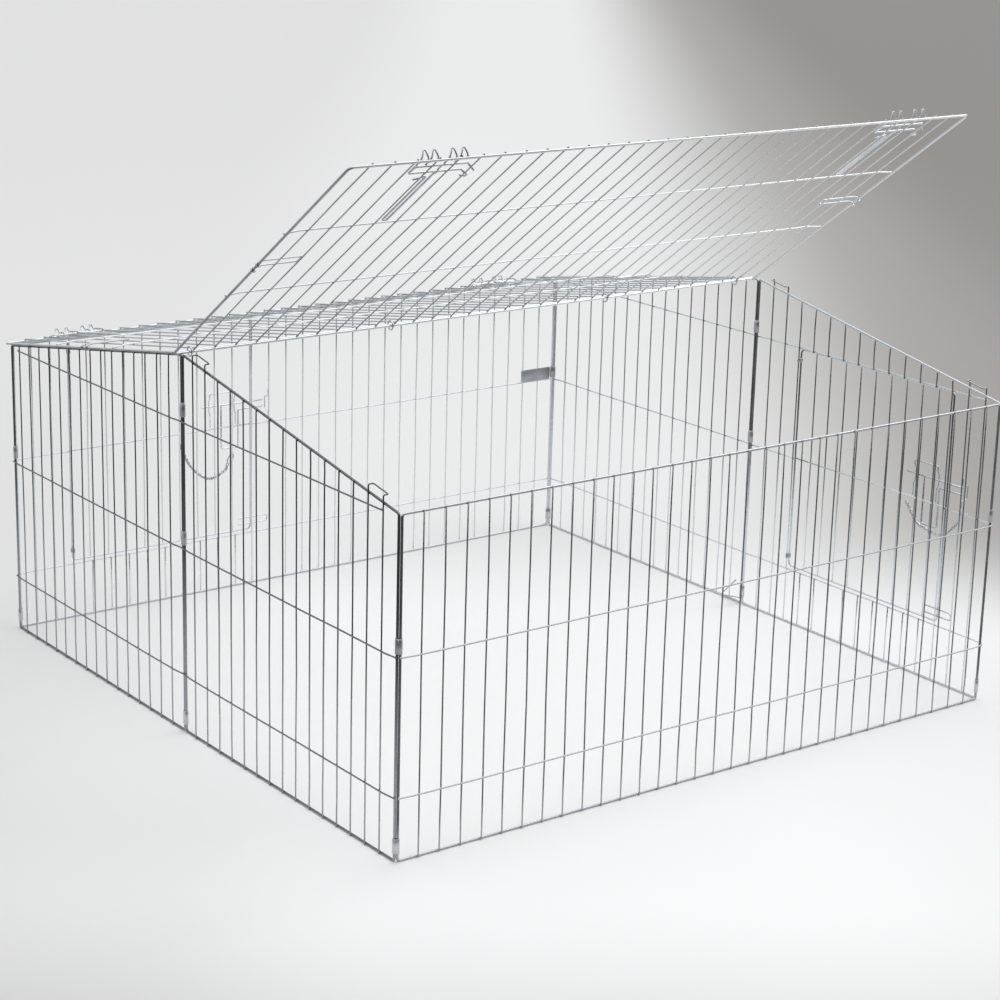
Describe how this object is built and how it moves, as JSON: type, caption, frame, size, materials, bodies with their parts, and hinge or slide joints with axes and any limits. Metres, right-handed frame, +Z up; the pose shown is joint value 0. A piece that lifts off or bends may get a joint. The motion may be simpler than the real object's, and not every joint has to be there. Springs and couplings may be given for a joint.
{
  "type": "outdoor rabbit run",
  "caption": "Square outdoor rabbit run of welded galvanised wire with a low pitched wire roof, the front half raised, a side door and a back door.",
  "frame": {"origin": "middle of the front wall's bottom rail, on its underside, which lies on the ground", "axes": "+X to the right along the front wall, +Y from the front wall to the back wall, +Z up"},
  "size_m": [1.1903, 1.1823, 0.9561],
  "materials": {
    "panel_wire": "bright galvanised wire, satin, welded at every crossing",
    "wire_fitting": "bright zinc-plated wire, satin",
    "sheet_fitting": "galvanised sheet strip, satin",
    "chain_wire": "zinc-plated, slightly brighter than the panels",
    "label_plate": "thin blank sheet, matt"
  },
  "bodies": {
    "walls": {"front_wall": "panel_wire", "back_wall": "panel_wire", "right_front_wall": "panel_wire", "right_rear_wall": "panel_wire", "left_rear_wall": "panel_wire", "left_front_wall": "panel_wire", "front_left_sleeve_lower": "sheet_fitting", "front_left_sleeve_middle": "sheet_fitting", "front_right_sleeve_lower": "sheet_fitting", "front_right_sleeve_middle": "sheet_fitting", "rear_right_sleeve_lower": "sheet_fitting", "rear_right_sleeve_middle": "sheet_fitting", "rear_left_sleeve_lower": "sheet_fitting", "rear_left_sleeve_middle": "sheet_fitting", "middle_left_sleeve_lower": "sheet_fitting", "middle_left_sleeve_middle": "sheet_fitting", "middle_left_sleeve_upper": "sheet_fitting", "middle_right_sleeve_lower": "sheet_fitting", "middle_right_sleeve_middle": "sheet_fitting", "middle_right_sleeve_upper": "sheet_fitting", "ridge_ring_1": "wire_fitting", "ridge_ring_2": "wire_fitting", "ridge_ring_3": "wire_fitting", "ridge_ring_4": "wire_fitting", "label_plate": "label_plate", "ground_clip": "wire_fitting", "side_door_staple": "wire_fitting", "back_door_staple": "wire_fitting", "side_door_hinge_lower": "sheet_fitting", "side_door_hinge_upper": "sheet_fitting", "back_door_hinge_lower": "sheet_fitting", "back_door_hinge_upper": "sheet_fitting"},
    "front_roof": {"front_roof": "panel_wire"},
    "rear_roof": {"rear_roof": "panel_wire"},
    "front_roof_bolt_left": {"front_roof_bolt_left": "wire_fitting"},
    "front_roof_bail_left": {"front_roof_bail_left": "wire_fitting"},
    "front_roof_bolt_right": {"front_roof_bolt_right": "wire_fitting"},
    "front_roof_bail_right": {"front_roof_bail_right": "wire_fitting"},
    "rear_roof_bolt_left": {"rear_roof_bolt_left": "wire_fitting"},
    "rear_roof_bail_left": {"rear_roof_bail_left": "wire_fitting"},
    "rear_roof_bolt_right": {"rear_roof_bolt_right": "wire_fitting"},
    "rear_roof_bail_right": {"rear_roof_bail_right": "wire_fitting"},
    "side_door": {"side_door": "panel_wire", "side_door_guide": "wire_fitting", "side_door_stop": "wire_fitting", "side_door_chain": "chain_wire", "side_door_clip": "chain_wire"},
    "side_door_bolt": {"side_door_bolt": "wire_fitting"},
    "back_door": {"back_door": "panel_wire", "back_door_guide": "wire_fitting", "back_door_stop": "wire_fitting", "back_door_chain": "chain_wire", "back_door_clip": "chain_wire"},
    "back_door_bolt": {"back_door_bolt": "wire_fitting"}
  },
  "joints": [
    {"name": "front_roof_hinge", "type": "hinge", "parent": "walls", "child": "front_roof", "pos_m": [0, 0.571, 0.60138], "axis": [1, 0, 0], "range_deg": [-49, 45.6]},
    {"name": "rear_roof_hinge", "type": "hinge", "parent": "walls", "child": "rear_roof", "pos_m": [0, 0.579, 0.60138], "axis": [1, 0, 0], "range_deg": [0, 94]},
    {"name": "side_door_hinge", "type": "hinge", "parent": "walls", "child": "side_door", "pos_m": [0.5838, 0.46719, 0.297], "axis": [0, 0, 1], "range_deg": [0, 170]},
    {"name": "back_door_hinge", "type": "hinge", "parent": "walls", "child": "back_door", "pos_m": [-0.46719, 1.1588, 0.297], "axis": [0, 0, 1], "range_deg": [0, 170]},
    {"name": "side_door_bolt_slide", "type": "slide", "parent": "side_door", "child": "side_door_bolt", "axis": [0, -1, 0], "range_m": [0, 0.014]},
    {"name": "back_door_bolt_slide", "type": "slide", "parent": "back_door", "child": "back_door_bolt", "axis": [1, 0, 0], "range_m": [0, 0.014]},
    {"name": "front_roof_bolt_left_slide", "type": "slide", "parent": "front_roof", "child": "front_roof_bolt_left", "axis": [-1, 0, 0], "range_m": [0, 0.012]},
    {"name": "front_roof_bolt_right_slide", "type": "slide", "parent": "front_roof", "child": "front_roof_bolt_right", "axis": [-1, 0, 0], "range_m": [0, 0.012]},
    {"name": "rear_roof_bolt_left_slide", "type": "slide", "parent": "rear_roof", "child": "rear_roof_bolt_left", "axis": [1, 0, 0], "range_m": [0, 0.012]},
    {"name": "rear_roof_bolt_right_slide", "type": "slide", "parent": "rear_roof", "child": "rear_roof_bolt_right", "axis": [1, 0, 0], "range_m": [0, 0.012]},
    {"name": "front_roof_bail_left_hinge", "type": "hinge", "parent": "front_roof", "child": "front_roof_bail_left", "pos_m": [-0.592, 0.33676, 0.77156], "axis": [0, -0.809, 0.5878], "range_deg": [0, 135]},
    {"name": "front_roof_bail_right_hinge", "type": "hinge", "parent": "front_roof", "child": "front_roof_bail_right", "pos_m": [0.558, 0.33676, 0.77156], "axis": [0, 0.809, -0.5878], "range_deg": [0, 135]},
    {"name": "rear_roof_bail_left_hinge", "type": "hinge", "parent": "rear_roof", "child": "rear_roof_bail_left", "pos_m": [-0.585, 0.86427, 0.55188], "axis": [0, -0.9853, 0.171], "range_deg": [0, 135]},
    {"name": "rear_roof_bail_right_hinge", "type": "hinge", "parent": "rear_roof", "child": "rear_roof_bail_right", "pos_m": [0.565, 0.86427, 0.55188], "axis": [0, 0.9853, -0.171], "range_deg": [0, 135]}
  ]
}
